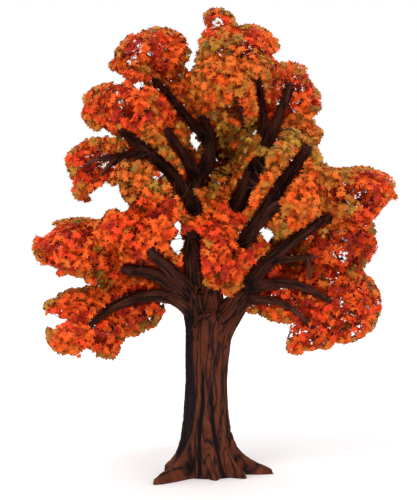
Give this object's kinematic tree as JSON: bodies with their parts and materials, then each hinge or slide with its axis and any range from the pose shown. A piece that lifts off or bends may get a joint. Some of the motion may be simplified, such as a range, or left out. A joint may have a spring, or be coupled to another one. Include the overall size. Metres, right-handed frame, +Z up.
{
  "type": "red maple tree",
  "caption": "Open-grown red maple in autumn leaf: a thick flared trunk that forks into spreading boughs, each ending in a rounded mass of foliage.",
  "frame": {"origin": "middle of the flat cut under the trunk, at ground level", "axes": "+Z up along the trunk; +X to the right and +Y away from the viewer, as the tree is seen from its front"},
  "size_m": [9.3787, 7.4684, 11.9925],
  "materials": {
    "bark": "rough furrowed red-brown bark",
    "bough_bark": "matt dark purple-brown bark",
    "leaf_scarlet": "matt scarlet autumn leaf",
    "leaf_orange": "matt orange autumn leaf",
    "leaf_amber": "matt amber autumn leaf"
  },
  "bodies": {
    "root": {"trunk": "bark", "leader": "bough_bark", "bough_back": "bough_bark", "bough_back_high": "bough_bark", "bough_back_left": "bough_bark", "bough_back_low_left": "bough_bark", "bough_back_low_right": "bough_bark", "bough_back_right": "bough_bark", "bough_crown": "bough_bark", "bough_crown_left": "bough_bark", "bough_fork_left": "bough_bark", "bough_front_low": "bough_bark", "bough_front_right": "bough_bark", "bough_front_upper": "bough_bark", "bough_left": "bough_bark", "bough_left_low": "bough_bark", "bough_left_mid": "bough_bark", "bough_left_short": "bough_bark", "bough_left_upright": "bough_bark", "bough_right_arch": "bough_bark", "bough_right_high": "bough_bark", "bough_right_inner": "bough_bark", "bough_right_low": "bough_bark", "bough_right_lowest": "bough_bark", "bough_right_mid": "bough_bark", "bough_right_upright": "bough_bark", "bough_top": "bough_bark", "bough_upper_left": "bough_bark", "foliage_back": "leaf_scarlet", "foliage_back_high": "leaf_orange", "foliage_back_left": "leaf_amber", "foliage_back_low_left": "leaf_orange", "foliage_back_low_right": "leaf_amber", "foliage_back_right": "leaf_scarlet", "foliage_front_left": "leaf_scarlet", "foliage_front_low": "leaf_scarlet", "foliage_front_right": "leaf_orange", "foliage_front_upper": "leaf_amber", "foliage_front_upper_left": "leaf_orange", "foliage_left_inner": "leaf_orange", "foliage_left_low": "leaf_amber", "foliage_left_mid": "leaf_orange", "foliage_left_upper": "leaf_scarlet", "foliage_left_wide": "leaf_amber", "foliage_right_inner": "leaf_orange", "foliage_right_low": "leaf_scarlet", "foliage_right_low_inner": "leaf_amber", "foliage_right_mid": "leaf_orange", "foliage_right_upper": "leaf_scarlet", "foliage_right_upper_low": "leaf_amber", "foliage_right_wide": "leaf_scarlet", "foliage_top": "leaf_orange", "foliage_upper_centre": "leaf_orange", "foliage_upper_left": "leaf_amber"}
  },
  "joints": []
}
